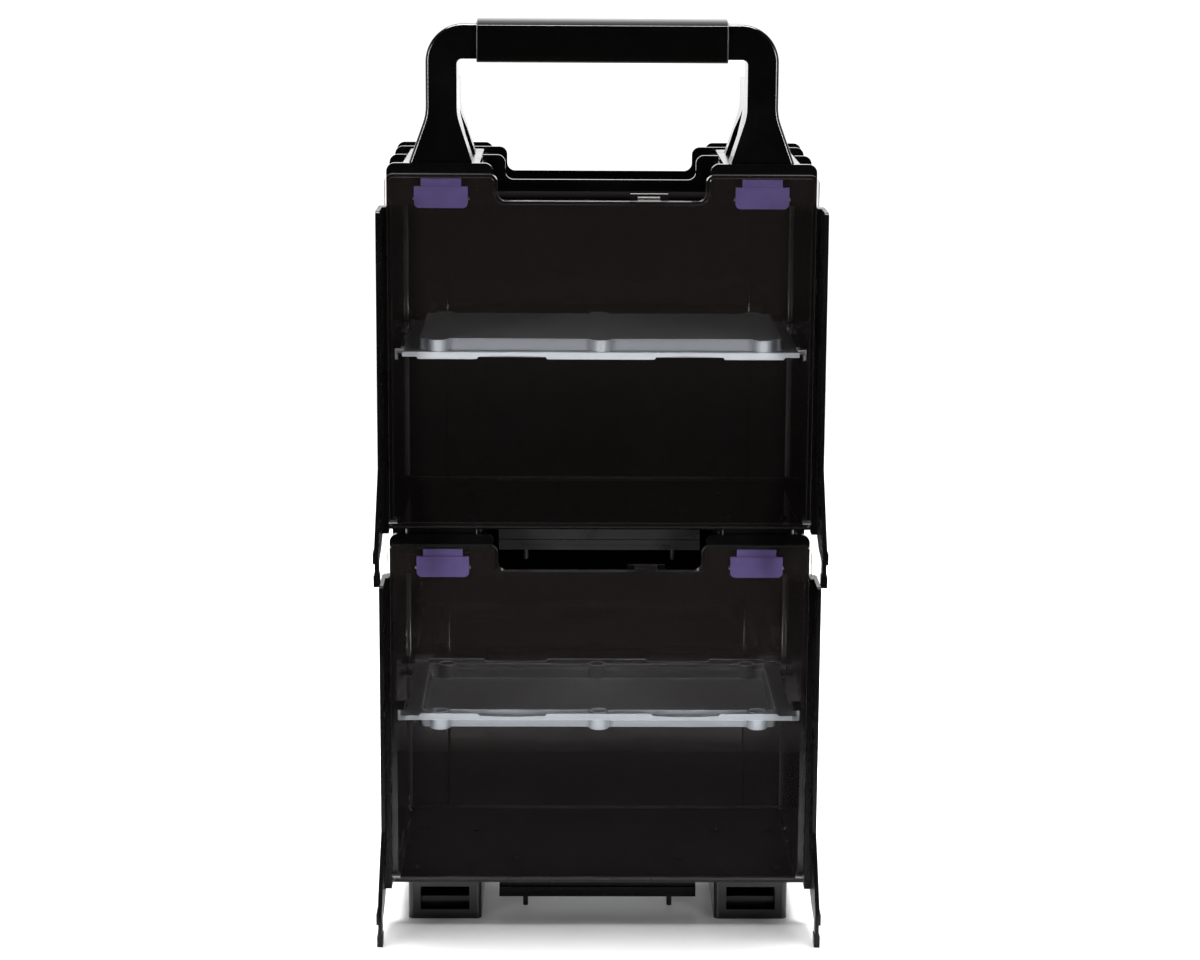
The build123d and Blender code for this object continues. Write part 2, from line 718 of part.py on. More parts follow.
def make_handle_frame():
    bar_back = handle_front + bar_depth
    handle_back = handle_front + handle_depth
    with BuildPart() as frame:
        with BuildSketch(front_plane(handle_front)):
            add(handle_face())
        extrude(amount=-handle_depth)
        # seen from the side, the bar is slim and the legs are deep below a shoulder
        with BuildSketch(side_plane(-2 * leg_half_outer)) as outline:
            with BuildLine():
                Polyline((handle_front, 0), (handle_back, 0), (handle_back, shoulder_height),
                         (bar_back, shoulder_height), (bar_back, bar_top), (handle_front, bar_top), close=True)
            make_face()
            step = [v for v in outline.vertices() if abs(v.Y - shoulder_height) < wall / 4]
            fillet([v for v in step if v.X > bar_back + wall], shoulder_radius)
            fillet([v for v in step if v.X < bar_back + wall], crook_radius)
        extrude(amount=4 * leg_half_outer, mode=Mode.INTERSECT)
        # the outer edge of the arch is rounded at the front and the back
        rim = [e for e in frame.edges() if is_outer_rim(e, bar_back)]
        fillet(rim, handle_edge_radius)
        # the feet, open below, and the pointed recess in the inner side of each leg
        for side in sides.values():
            foot_solid(side * foot_x, handle_foot_height, (0, handle_foot_height - foot_wall))
            with BuildSketch(side_plane(side * (flare_inner - wall))):
                with BuildLine():
                    Polyline((recess_front, handle_foot_height), (recess_back, handle_foot_height),
                             (recess_back, recess_spring), ((recess_front + recess_back) / 2, recess_top),
                             (recess_front, recess_spring), close=True)
                make_face()
            depth = leg_half_inner - flare_inner + recess_depth + wall
            extrude(amount=side * depth, mode=Mode.SUBTRACT)
        # the pilot holes of the grip's screws
        for side in sides.values():
            with Locations(along_y(side * grip_screw_x, bar_back, (bar_top + bar_bottom) / 2)):
                Cylinder(grip_screw_radius, bar_depth, mode=Mode.SUBTRACT)
    return frame.part


def is_outer_rim(edge, bar_back):
    """An edge along the outside of the arch, on its front or on the back of the bar."""
    centre = edge.center()
    on_face = min(abs(centre.Y - handle_front), abs(centre.Y - bar_back)) < wall / 20
    outside = centre.Z > bar_top - wall / 20 or abs(centre.X) > leg_half_outer - handle_corner_radius / 2
    level = edge.bounding_box().size.Y < wall / 20
    return on_face and outside and level and centre.Z > shoulder_height + crook_radius


def make_grip_half(front):
    """One half of the sleeve that closes round the bar."""
    y_front = handle_front - grip_skin
    y_back = handle_front + bar_depth + grip_skin
    with BuildPart() as grip:
        with BuildSketch(side_plane(-grip_half)):
            with BuildLine():
                Polyline((y_back, grip_side_top), (y_back, grip_low + grip_chamfer_height),
                         (y_back - grip_chamfer_depth, grip_low),
                         (y_front + grip_chamfer_depth, grip_low),
                         (y_front, grip_low + grip_chamfer_height), (y_front, grip_side_top))
                ThreePointArc((y_front, grip_side_top), (handle_middle, grip_side_top + grip_crown),
                              (y_back, grip_side_top))
            make_face()
            with Locations((handle_middle, (bar_top + bar_bottom) / 2)):
                Rectangle(bar_depth + 2 * grip_fit, bar_top - bar_bottom + 2 * grip_fit,
                          mode=Mode.SUBTRACT)
        extrude(amount=2 * grip_half)
        away = (handle_middle, y_back + wall) if front else (y_front - wall, handle_middle)
        block((-grip_half - wall, grip_half + wall), away, (0, 2 * bar_top), mode=Mode.SUBTRACT)
        if not front:
            for side in sides.values():
                with Locations(along_y(side * grip_screw_x, y_back, (bar_top + bar_bottom) / 2)):
                    Cylinder(grip_screw_radius, 3 * grip_skin, mode=Mode.SUBTRACT)
                    Cylinder(grip_screw_head_radius, 2 * screw_head_height, mode=Mode.SUBTRACT)
    return grip.part


def make_grip_screws():
    head_y = handle_front + bar_depth + grip_skin - screw_head_height
    with BuildPart() as screws:
        for side in sides.values():
            with Locations(along_y(side * grip_screw_x, head_y, (bar_top + bar_bottom) / 2)):
                Cylinder(grip_screw_radius, grip_screw_length,
                         align=(Align.CENTER, Align.CENTER, Align.MAX))
                Cylinder(grip_screw_head_radius, screw_head_height,
                         align=(Align.CENTER, Align.CENTER, Align.MIN))
    return screws.part


def turned_over(shelf):
    """The shelf with its plateau hanging down, its ears at the same level as before."""
    axis = Axis((0, 0, ear_centre), (0, 1, 0))
    return shelf.rotate(axis, 180)


def save(piece, name, lift):
    """Set a piece in its place in the case, name it and write it."""
    placed = piece.moved(Location((0, -depth_centre, lift)))
    placed.label = name
    export_step(placed, f"parts/{name}.step")


os.makedirs("parts", exist_ok=True)

shelf = make_shelf()
module_pieces = {
    "case_shell": make_case_shell(),
    "door": make_door(),
    "door_pins": make_door_pins(),
    "door_catch": make_door_catch(),
    "latch_pins": make_latch_pins(),
    "guard_screws": make_guard_screws(),
    "locating_rail": make_locating_rail(),
    "base_screws": make_base_screws(),
}
for name, side in sides.items():
    module_pieces[f"{name}_latch"] = make_latch(side)
    module_pieces[f"{name}_guard"] = make_guard(side)
    module_pieces[f"{name}_foot"] = make_foot(side)

for module, lift in (("lower", 0), ("upper", module_pitch)):
    for name, piece in module_pieces.items():
        save(piece, f"{module}_{name}", lift)
save(turned_over(shelf), "lower_shelf", 0)
save(shelf, "upper_shelf", module_pitch)

handle_lift = 2 * module_pitch
save(make_handle_frame(), "handle_frame", handle_lift)
save(make_grip_half(True), "grip_front", handle_lift)
save(make_grip_half(False), "grip_back", handle_lift)
save(make_grip_screws(), "grip_screws", handle_lift)
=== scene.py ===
# %% [markdown]
# # A stacking hobby case with clear doors
#
# This lesson dresses a CAD model of a tall carrying case: two glossy black modules behind clear
# drop-down doors, milky shelves, purple latches and a carrying handle. The CAD model is the
# frame. Every piece that we make sits exactly where a CAD piece sits, in metres, and rides on
# the same moving body.

# %% Load the frame
import json
import math
import bmesh
import bpy
from mathutils import Matrix, Vector
from mathutils.bvhtree import BVHTree


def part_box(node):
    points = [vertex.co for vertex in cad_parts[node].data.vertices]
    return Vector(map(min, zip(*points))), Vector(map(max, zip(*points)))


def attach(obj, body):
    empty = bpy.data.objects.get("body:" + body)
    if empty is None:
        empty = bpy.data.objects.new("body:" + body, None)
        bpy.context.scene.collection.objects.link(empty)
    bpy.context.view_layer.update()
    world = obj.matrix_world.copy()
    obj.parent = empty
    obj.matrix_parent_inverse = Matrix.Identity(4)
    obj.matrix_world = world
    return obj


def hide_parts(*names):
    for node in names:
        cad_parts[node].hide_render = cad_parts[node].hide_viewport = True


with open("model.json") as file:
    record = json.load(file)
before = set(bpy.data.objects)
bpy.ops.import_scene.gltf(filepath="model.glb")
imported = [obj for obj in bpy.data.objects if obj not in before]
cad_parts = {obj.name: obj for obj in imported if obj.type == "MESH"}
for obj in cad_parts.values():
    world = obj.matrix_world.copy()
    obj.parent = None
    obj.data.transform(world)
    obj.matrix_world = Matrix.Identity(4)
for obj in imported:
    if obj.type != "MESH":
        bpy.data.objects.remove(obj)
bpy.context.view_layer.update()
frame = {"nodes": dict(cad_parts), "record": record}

RECORD = frame["record"]
BODY_OF = {node: body for body, nodes in RECORD["behaviour"]["bodies"].items() for node in nodes}
SLOT_OF = {entry["node"]: entry["material_slot"] for entry in RECORD["subparts"]}
MM = 0.001

# %% [markdown]
# ## Shader maths in plain Python
#
# A material is a web of nodes, and wiring one by hand is slow to read. We wrap a socket in a
# small class with the usual operators, so that `1 - mask * 0.5` adds the Math nodes for us. Any
# other node comes from one method, which takes the node's type, its settings and its inputs.

# %% A socket that does arithmetic
class Field:
    """A number that varies over a surface."""

    def __init__(self, finish, socket):
        self.finish, self.socket = finish, socket

    def maths(self, operation, first, second):
        return self.finish.node("ShaderNodeMath", {"operation": operation}, {0: first, 1: second})[0]

    def __add__(self, other):
        return self.maths("ADD", self, other)

    def __radd__(self, other):
        return self.maths("ADD", other, self)

    def __sub__(self, other):
        return self.maths("SUBTRACT", self, other)

    def __rsub__(self, other):
        return self.maths("SUBTRACT", other, self)

    def __mul__(self, other):
        return self.maths("MULTIPLY", self, other)

    def __rmul__(self, other):
        return self.maths("MULTIPLY", other, self)

    def above(self, level):
        """1 where the field is above a level, 0 elsewhere."""
        return self.maths("GREATER_THAN", self, level)


class Outputs:
    """The outputs of a node, by name or number, each as a Field."""

    def __init__(self, finish, node):
        self.finish, self.node = finish, node

    def __getitem__(self, key):
        return Field(self.finish, self.node.outputs[key])


print("a field adds, subtracts, multiplies and compares")

# %% [markdown]
# ## One recipe for every finish
#
# All the plastics here start from the Principled shader. A `Finish` makes a material, gives us
# the object's own coordinates, and joins what we work out to the few sockets that may vary. The
# numbers that are the same all over go straight on to the shader's sockets.

# %% A material under construction
MIXED_COLOUR = 2  # the place of the colour among a Mix node's outputs


def set_stops(band, stops):
    """Give a colour ramp its stops, each a position and a colour."""
    while len(band.elements) < len(stops):
        band.elements.new(0.5)
    for element, (position, colour) in zip(band.elements, stops):
        element.position = position
        element.color = (*colour, 1.0)


class Finish:
    """A material with a Principled shader, built up a step at a time."""

    def __init__(self, name, **constants):
        self.material = bpy.data.materials.new(name)
        self.material.use_nodes = True
        self.tree = self.material.node_tree
        self.shader = self.tree.nodes["Principled BSDF"]
        self.out = self.tree.nodes["Material Output"]
        for socket, value in constants.items():
            self.shader.inputs[socket.replace("_", " ")].default_value = value
        spots = self.node("ShaderNodeTexCoord", {}, {})
        self.place, self.facing_way = spots["Object"], spots["Normal"]

    def node(self, kind, settings, inputs):
        """Any node: its type, its settings or a ramp's stops, and what goes into it."""
        made = self.tree.nodes.new(kind)
        for key, value in settings.items():
            if key == "stops":
                set_stops(made.color_ramp, value)
            else:
                setattr(made, key, value)
        for key, value in inputs.items():
            if isinstance(value, Field):
                self.tree.links.new(value.socket, made.inputs[key])
            else:
                made.inputs[key].default_value = value
        return Outputs(self, made)

    def feed(self, socket, field):
        """Join a field to one of the shader's sockets."""
        self.tree.links.new(field.socket, self.shader.inputs[socket])

    def noise(self, scale, detail=3.0, rough=0.5):
        """Soft blotches; scale is in blotches per metre."""
        return self.node("ShaderNodeTexNoise", {}, {"Vector": self.place, "Scale": scale,
                                                    "Detail": detail, "Roughness": rough})["Fac"]

    def axis(self, name):
        """One coordinate of the place on the object."""
        return self.node("ShaderNodeSeparateXYZ", {}, {"Vector": self.place})[name]

    def near(self, name, level, reach=0.8 * MM):
        """1 close to one level of a coordinate, 0 elsewhere."""
        away = self.axis(name) - level
        return 1 - away.maths("ABSOLUTE", away, 0.0).above(reach)

    def turned(self, name):
        """1 where the surface faces along an axis, either way, and 0 where it runs along it."""
        along = self.node("ShaderNodeSeparateXYZ", {}, {"Vector": self.facing_way})[name]
        return self.span(along.maths("ABSOLUTE", along, 0.0), 0.35, 0.85)

    def blend_from(self, other, share):
        """Show the main shader as far as the share says, and another one for the rest."""
        mix = self.node("ShaderNodeMixShader", {}, {0: share})
        self.tree.links.new(other.node.outputs[0], mix.node.inputs[1])
        self.tree.links.new(self.shader.outputs[0], mix.node.inputs[2])
        self.tree.links.new(mix.node.outputs[0], self.out.inputs["Surface"])

    def see_through(self, tint, body):
        """Let the light through, tinted, except as far as the body says."""
        self.blend_from(self.node("ShaderNodeBsdfTransparent", {}, {"Color": (*tint, 1.0)}), body)

    def matt(self, where, colour):
        """A dull surface in place of the glossy one."""
        self.blend_from(self.node("ShaderNodeBsdfDiffuse", {}, {"Color": (*colour, 1.0)}), 1 - where)

    def ramp(self, field, stops):
        """Colours or greys along a field."""
        return self.node("ShaderNodeValToRGB", {"stops": stops}, {"Fac": field})["Color"]

    def mix(self, share, first, second, how="MIX"):
        """Two colours, the second one as far as the share says."""
        settings = {"data_type": "RGBA", "blend_type": how}
        return self.node("ShaderNodeMix", settings, {"Factor": share, "A": first, "B": second})[MIXED_COLOUR]

    def bump(self, height, distance, strength=1.0):
        """Dents and pores; distance is their depth in metres."""
        self.feed("Normal", self.node("ShaderNodeBump", {}, {"Height": height, "Distance": distance,
                                                             "Strength": strength})["Normal"])

    def span(self, field, low, high, to_low=0.0, to_high=1.0):
        """The field between two levels, stretched to two others and held there."""
        return self.node("ShaderNodeMapRange", {"clamp": True},
                         {"Value": field, "From Min": low, "From Max": high,
                          "To Min": to_low, "To Max": to_high})["Result"]


print("shader helpers ready")

# %% [markdown]
# ## Measure the trays
#
# Some pieces and finishes need to know where a tray's inner walls are. We merge a copy of the
# CAD tray and cast five rays from its middle: each one stops at a wall.

# %% Find the inner walls
def merged_copy(node):
    """A CAD node's loose triangles, joined and with its flat faces made whole."""
    shape = bmesh.new()
    shape.from_mesh(frame["nodes"][node].data)
    bmesh.ops.remove_doubles(shape, verts=shape.verts, dist=0.002 * MM)
    bmesh.ops.dissolve_limit(shape, angle_limit=math.radians(0.5), verts=shape.verts, edges=shape.edges)
    return shape


def bay_walls(module):
    """The inner faces of a tray: left, right, floor, ceiling and back."""
    shape = merged_copy(f"{module}_case_shell")
    shell = BVHTree.FromBMesh(shape)
    shape.free()
    low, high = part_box(f"{module}_case_shell")
    middle = Vector([(a + b) / 2 for a, b in zip(low, high)])
    ways = {"left": (-1, 0, 0), "right": (1, 0, 0), "floor": (0, 0, -1), "ceiling": (0, 0, 1),
            "back": (0, 1, 0)}
    walls = {}
    for name, way in ways.items():
        place = shell.ray_cast(middle, Vector(way))[0]
        walls[name] = place[[abs(v) for v in way].index(1)]
    return walls


BAYS = {module: bay_walls(module) for module in ("lower", "upper")}
for module, walls in BAYS.items():
    print(module, "bay", {name: round(value, 4) for name, value in walls.items()})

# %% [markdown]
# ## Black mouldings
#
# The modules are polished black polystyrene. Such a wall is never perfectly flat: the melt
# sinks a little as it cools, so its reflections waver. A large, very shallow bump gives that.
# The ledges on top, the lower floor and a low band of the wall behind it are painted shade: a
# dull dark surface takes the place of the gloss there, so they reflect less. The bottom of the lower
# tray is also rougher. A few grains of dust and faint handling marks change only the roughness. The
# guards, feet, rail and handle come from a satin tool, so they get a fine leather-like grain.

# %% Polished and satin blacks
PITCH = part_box("upper_door")[0][2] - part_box("lower_door")[0][2]
MODULE_TOPS = [PITCH, 2 * PITCH]
PAINTED_SHADE_FULL_TO, PAINTED_SHADE_ENDS_AT = 50.0 * MM, 88.0 * MM  # heights where the painted shade on the wall weakens and ends


def polished_black():
    """The trays' gloss black, with painted shade: matt dark ledges, a matt floor and a matt band behind it.
    """
    finish = Finish("polished black", IOR=1.45)
    sink = finish.noise(9.0, 1.0)
    smear = finish.noise(55.0, 4.0, 0.62)
    finish.feed("Base Color", finish.ramp(smear, [(0.35, (0.0017, 0.0015, 0.0016)),
                                                  (0.75, (0.0027, 0.0024, 0.0024))]))
    base = BAYS["lower"]["floor"]
    foot = 1 - finish.span(finish.axis("Z"), base + 1.0 * MM, base + 60.0 * MM)
    finish.feed("Roughness", finish.span(smear, 0.35, 0.8, 0.07, 0.16) + foot * 0.16)
    finish.bump(sink, 0.0009, 0.2)
    # painted shade: the ledges on the module tops, the lower floor and a low band of the lower back wall
    # turn dull and dark
    grained = sum(finish.near("Z", height) for height in MODULE_TOPS + [base]) * finish.turned("Z")
    band = finish.span(finish.axis("Z"), PAINTED_SHADE_FULL_TO, PAINTED_SHADE_ENDS_AT, 0.85, 0.0)
    finish.matt(grained + finish.near("Y", BAYS["lower"]["back"]) * band, (0.0035, 0.0032, 0.0032))
    return finish.material


def satin_black(name, grey, grain, rough, index=1.45):
    """A grained black; grey is how light it is, and grain the depth of its pores."""
    finish = Finish(name, IOR=index)
    wear = finish.noise(38.0, 5.0, 0.6)
    pores = finish.noise(2600.0, 2.0, 0.5)
    finish.feed("Base Color", finish.ramp(wear, [(0.3, (grey * 0.85, grey * 0.83, grey * 0.84)),
                                                 (0.8, (grey * 1.3, grey * 1.27, grey * 1.22))]))
    finish.feed("Roughness", finish.span(wear, 0.3, 0.75, rough - 0.04, rough + 0.06))
    finish.bump(pores, grain, 0.6)
    return finish.material


SHELL_BLACK = polished_black()
SATIN_BLACK = satin_black("satin black", 0.0011, 0.00003, 0.2)
HANDLE_BLACK = satin_black("handle black", 0.001, 0.00003, 0.17)
# painted light: the upper rail's black is set far lighter than the other blacks, a lit copy of the same
# plastic
RAIL_PAINTED_LIGHT_GREY = satin_black("rail painted light grey", 0.02, 0.00003, 0.3)
GUARD_BLACK = satin_black("guard black", 0.0008, 0.00003, 0.28, 1.27)
print("blacks:", SHELL_BLACK.name, SATIN_BLACK.name, HANDLE_BLACK.name)

# %% [markdown]
# The grip is another material, a slightly olive grey-black that is softer to the touch. On the
# real handle its face below the moulding line is a shade lighter. The height of that line
# is read from the grip's own box, and the shade changes over half a millimetre there. Along the
# sleeve's bottom edge and at its two ends, a rim half a millimetre wide is painted pale: a painted
# highlight where those edges catch the light.

# %% Grip plastic
def grip_plastic():
    """The sleeve's olive black, with its moulding line and a painted highlight along its rim."""
    finish = Finish("grip plastic", IOR=1.45)
    (left, _, low), (right, _, _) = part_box("grip_front")
    line = finish.span(finish.axis("Z"), low + 2.6 * MM, low + 3.1 * MM)
    wear = finish.noise(70.0, 4.0, 0.6)
    shade = finish.ramp(line, [(0.0, (0.0018, 0.0017, 0.0014)), (1.0, (0.001, 0.00095, 0.0009))])
    edges = (("Z", low), ("X", left), ("X", right))
    # rim: the bottom edge and both ends, painted pale as a painted highlight
    rim = sum(finish.near(name, level, 0.55 * MM) for name, level in edges)
    # pale is the colour of that painted highlight
    pale = (1.0, 1.0, 0.95, 1.0)
    finish.feed("Base Color", finish.mix(wear * 0.0004 + rim * 0.045, shade, pale, "ADD"))
    finish.feed("Roughness", finish.span(wear, 0.3, 0.7, 0.1, 0.16))
    finish.bump(finish.noise(1900.0, 2.0), 0.00005, 0.5)
    return finish.material


GRIP_GREY = grip_plastic()
print("grip:", GRIP_GREY.name)

# %% [markdown]
# ## Clear plastic
#
# A door is 1.8 mm of clear styrene. Real refraction would cost many samples and show little,
# because the panel is flat. So the panel is a mix of a plain see-through shader and a glossy
# one, and the mix leans to gloss at grazing angles, as real plastic does. A thin haze of
# scratches and dust lifts the black behind it a little, more in the upper half of each door,
# as the photograph shows.
# Its edges are painted a light grey and made less see-through: a painted highlight along every edge.

# %% The door's plastic
TAB_RISE = 0.07  # how far a door's tabs reach past their module, as a share of its height


def clear_plastic(name, haze, edge_highlight_grey):
    """Clear styrene; haze is the colour of its dust, and edge_highlight_grey the colour of the painted
    highlight along its edges.
    """
    finish = Finish(name, IOR=1.45)
    dust = finish.noise(130.0, 5.0, 0.65)
    # rim finds the door's edges; they get a painted highlight, a light grey that is also less see-through
    rim = 1 - finish.turned("Y")
    level = finish.axis("Z") * (1 / PITCH) - TAB_RISE
    high = finish.span(level.maths("FRACT", level, 0.0), 0.35, 0.65)
    hazy = finish.ramp(high + dust * 0.2, [(0.1, tuple(1.2 * c for c in haze)),
                                           (1.0, tuple(1.3 * c for c in haze))])
    finish.feed("Base Color", finish.mix(rim, hazy, (*edge_highlight_grey, 1.0)))
    finish.feed("Roughness", finish.span(dust, 0.3, 0.8, 0.07, 0.16))
    facing = finish.node("ShaderNodeLayerWeight", {}, {"Blend": 0.35})["Facing"]
    body = finish.span(facing, 0.2, 1.0, 0.03, 0.4) + dust * 0.02 + high * 0.06 + rim * 0.5
    finish.see_through((0.985, 0.98, 0.98), body)
    return finish.material


# the last colour of each is the painted highlight along its edges
CLEAR_DOOR = clear_plastic("clear plastic", (0.03, 0.024, 0.023), (0.09, 0.087, 0.09))
CLEAR_CATCH = clear_plastic("clear catch plastic", (0.01, 0.009, 0.009), (0.02, 0.019, 0.02))
print("clear plastic:", CLEAR_DOOR.name)

# %% [markdown]
# ## Milky shelf
#
# The shelves are natural polypropylene: light soaks in and scatters, so edges and walls that
# are seen end on look almost white and flat areas look grey. That light is painted into the
# colour here. The same trick serves again, a mix of see-through and a pale body, but here the
# pale part is strong and gathers at the rim. On a rounded edge the surface faces neither up nor
# sideways, and `flat * (1 - flat)` finds it and paints it near white, a painted highlight. The
# colour darkens from the front lip towards the back, painted shade deeper in the case, and on
# the lower shelf the flats are made paler and the lip less so, painted light for how the light
# falls there.

# %% The shelf's plastic
def milky_plastic():
    """Pale and cloudy, with painted light: lightest at the front lip and on the rounded edges, darker
    towards the back.
    """
    finish = Finish("milky plastic", IOR=1.49)
    flow = finish.noise(26.0, 3.0, 0.55)
    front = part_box("upper_shelf")[0][1]
    # painted shade: deep runs from the front lip to the back, and the colour darkens along it
    deep = finish.span(finish.axis("Y"), front + 2.0 * MM, front + 60.0 * MM)
    flat = finish.turned("Z")
    walls = finish.ramp(deep + flow * 0.04, [(0.0, (0.7, 0.75, 0.8)), (0.2, (0.33, 0.36, 0.39)),
                                             (1.0, (0.09, 0.096, 0.099))])
    plate_with_painted_shade = finish.ramp(deep + flow * 0.04, [(0.0, (0.86, 0.9, 0.95)), (0.25, (0.84, 0.87, 0.9)),
                                             (1.0, (0.68, 0.7, 0.7))])
    # painted highlight: the rounded edges are pushed towards near white
    rounded = flat * (1 - flat) * 4.0
    tone_with_painted_shade = finish.mix(flat, walls, plate_with_painted_shade)
    finish.feed("Base Color", finish.mix(rounded * 0.7, tone_with_painted_shade, (0.8, 0.84, 0.88, 1.0)))
    finish.feed("Roughness", finish.span(flow, 0.3, 0.8, 0.3, 0.42))
    finish.bump(finish.noise(300.0, 2.0), 0.00002, 0.3)
    # painted light: the front lip is made more solid and pale, and on the lower shelf the flats are made
    # paler and the lip less so
    lip = 1 - finish.span(finish.axis("Y"), front + 1.8 * MM, front + 2.6 * MM)
    below = 1 - finish.axis("Z").above(PITCH)
    body = 0.5 - flat * 0.08 + rounded * 0.3 + flat * below * 0.38 + lip * (0.45 - below * 0.36)
    finish.see_through((0.93, 0.95, 0.97), body)
    return finish.material


MILKY = milky_plastic()
print("milky plastic:", MILKY.name)

# %% [markdown]
# ## Latches and metal
#
# The latches are the only colour on the case: a muted purple, moulded with a light grain. Pins
# are drawn steel, with fine rings from the die, and the screws are blackened steel.

# %% Purple, steel and black oxide
def purple_plastic():
    """The latches' muted purple."""
    finish = Finish("purple plastic", IOR=1.5)
    flow = finish.noise(160.0, 3.0, 0.55)
    finish.feed("Base Color", finish.ramp(flow, [(0.25, (0.082, 0.058, 0.185)), (0.8, (0.1, 0.073, 0.225))]))
    finish.feed("Roughness", finish.span(flow, 0.3, 0.8, 0.3, 0.42))
    finish.bump(finish.noise(2400.0, 2.0), 0.00003, 0.5)
    return finish.material


def drawn_steel():
    """Bare wire with the fine rings that a die leaves."""
    finish = Finish("drawn steel", Metallic=1.0)
    rings = finish.node("ShaderNodeTexWave", {"bands_direction": "X"},
                        {"Vector": finish.place, "Scale": 900.0, "Distortion": 3.0, "Detail": 2.0})["Fac"]
    finish.feed("Base Color", finish.ramp(rings, [(0.0, (0.42, 0.42, 0.43)), (1.0, (0.56, 0.56, 0.57))]))
    finish.feed("Roughness", finish.span(rings, 0.0, 1.0, 0.22, 0.36))
    return finish.material


def black_oxide():
    """A dull black skin on steel, worn a little brown."""
    finish = Finish("black oxide", IOR=1.08)
    worn = finish.noise(700.0, 3.0, 0.6)
    finish.feed("Base Color", finish.ramp(worn, [(0.4, (0.0012, 0.0012, 0.0013)),
                                                 (0.85, (0.004, 0.0038, 0.0036))]))
    finish.feed("Roughness", finish.span(worn, 0.3, 0.8, 0.45, 0.6))
    return finish.material


PURPLE, STEEL, OXIDE = purple_plastic(), drawn_steel(), black_oxide()
FINISH_OF = {"shell_black": SHELL_BLACK, "guard_black": SATIN_BLACK, "clear_smoke": CLEAR_DOOR,
             "shelf_frost": MILKY, "latch_purple": PURPLE, "pin_steel": STEEL, "screw_black": OXIDE,
             "handle_black": HANDLE_BLACK, "grip_grey": GRIP_GREY}
print("finishes:", len(FINISH_OF))

# %% [markdown]
# ## Rounded mouldings
#
# A mould can't make a razor edge: every corner has a small radius, and that radius is what
# catches the light along the tabs, ribs and rims. The CAD mesh is loose triangles, so we copy
# it, merge its doubles, dissolve the flat triangles into whole faces, and let a Bevel modifier
# round each edge that is sharper than 35 degrees. A Weighted Normal modifier then lets the large
# faces set the shading, so that a flat panel reflects as a flat panel.

# %% Round the edges of a copy
ROUNDED_ABOVE = math.radians(35)


def finish_piece(mesh, name, node, finish):
    """Put a mesh on stage as a piece that stands for a CAD node."""
    piece = bpy.data.objects.new(name, mesh)
    bpy.context.scene.collection.objects.link(piece)
    mesh.materials.clear()
    mesh.materials.append(finish)
    for face in mesh.polygons:
        face.use_smooth = True
    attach(piece, BODY_OF[node])
    return piece


def moulded(node, radius, segments=2):
    """A copy of a CAD piece whose edges are rounded like a moulding's."""
    shape = merged_copy(node)
    mesh = bpy.data.meshes.new(node + "_moulding")
    shape.to_mesh(mesh)
    shape.free()
    piece = finish_piece(mesh, node + "_moulding", node, FINISH_OF[SLOT_OF[node]])
    soft = piece.modifiers.new("rounded edges", "BEVEL")
    soft.width, soft.segments, soft.limit_method = radius, segments, "ANGLE"
    soft.angle_limit = ROUNDED_ABOVE
    soft.use_clamp_overlap = True
    even = piece.modifiers.new("even shading", "WEIGHTED_NORMAL")
    even.keep_sharp = True
    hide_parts(node)
    return piece


print("edges rounded above", round(math.degrees(ROUNDED_ABOVE)), "degrees")


# %% All the mouldings, with their radii in millimetres
RADII = {"case_shell": 0.3, "left_guard": 0.25, "right_guard": 0.25, "left_foot": 0.3, "right_foot": 0.3,
         "locating_rail": 0.25, "left_latch": 0.2, "right_latch": 0.2, "shelf": 0.25, "door": 0.3,
         "door_catch": 0.2}
mouldings = {}
for module in ("lower", "upper"):
    for part, radius in RADII.items():
        mouldings[f"{module}_{part}"] = moulded(f"{module}_{part}", radius * MM)
for module in ("lower", "upper"):
    mouldings[f"{module}_door_catch"].data.materials[0] = CLEAR_CATCH
    for part in ("left_guard", "right_guard"):
        mouldings[f"{module}_{part}"].data.materials[0] = GUARD_BLACK
# the lower rail keeps the guards' black, and the upper rail gets the painted light grey
mouldings["lower_locating_rail"].data.materials[0] = GUARD_BLACK
mouldings["upper_locating_rail"].data.materials[0] = RAIL_PAINTED_LIGHT_GREY
mouldings["handle_frame"] = moulded("handle_frame", 0.5 * MM, 3)
for part in ("grip_front", "grip_back"):
    mouldings[part] = moulded(part, 0.4 * MM, 3)
print("mouldings:", len(mouldings))

# %% [markdown]
# ## Rounded corners inside the trays
#
# A deep tray only leaves its mould if the corners inside are rounded, and those corners draw the
# thin light lines that we see at the back of each bay. The CAD corners are sharp, so we lay a
# bead along each: a quarter-round whose profile is spun by an operator and then extruded. The
# corner beads are painted a light grey, a painted highlight that makes those lines. Two
# small beads back to back make the low rib that runs up the back wall on each side.

# %% Lay a bead along a corner
BEAD_RADIUS, RIB_RADIUS, RIB_PLACE = 1.3 * MM, 0.6 * MM, 79.7 * MM


def bead(shape, corner, into, along, length, radius=BEAD_RADIUS):
    """A quarter-round bead in a corner; into is the pair of ways from the corner into the room."""
    first, second = (Vector(way) for way in into)
    centre = Vector(corner) + (first + second) * radius
    tip = shape.verts.new(Vector(corner) + first * radius)
    root = shape.verts.new(Vector(corner))
    axis = (-second).cross(-first)
    bmesh.ops.spin(shape, geom=[tip], axis=axis, cent=centre, steps=6, angle=math.pi / 2)
    arc = [v for e in shape.edges for v in e.verts if e.is_wire]
    rim = [tip] + [v for v in dict.fromkeys(arc) if v is not tip]
    rim.sort(key=lambda v: (v.co - tip.co).length)
    face = shape.faces.new([root] + rim)
    raised = bmesh.ops.extrude_face_region(shape, geom=[face])["geom"]
    moved = [v for v in raised if isinstance(v, bmesh.types.BMVert)]
    bmesh.ops.translate(shape, verts=moved, vec=Vector(along) * length)


print("beads of", BEAD_RADIUS, "m and ribs of", RIB_RADIUS, "m")


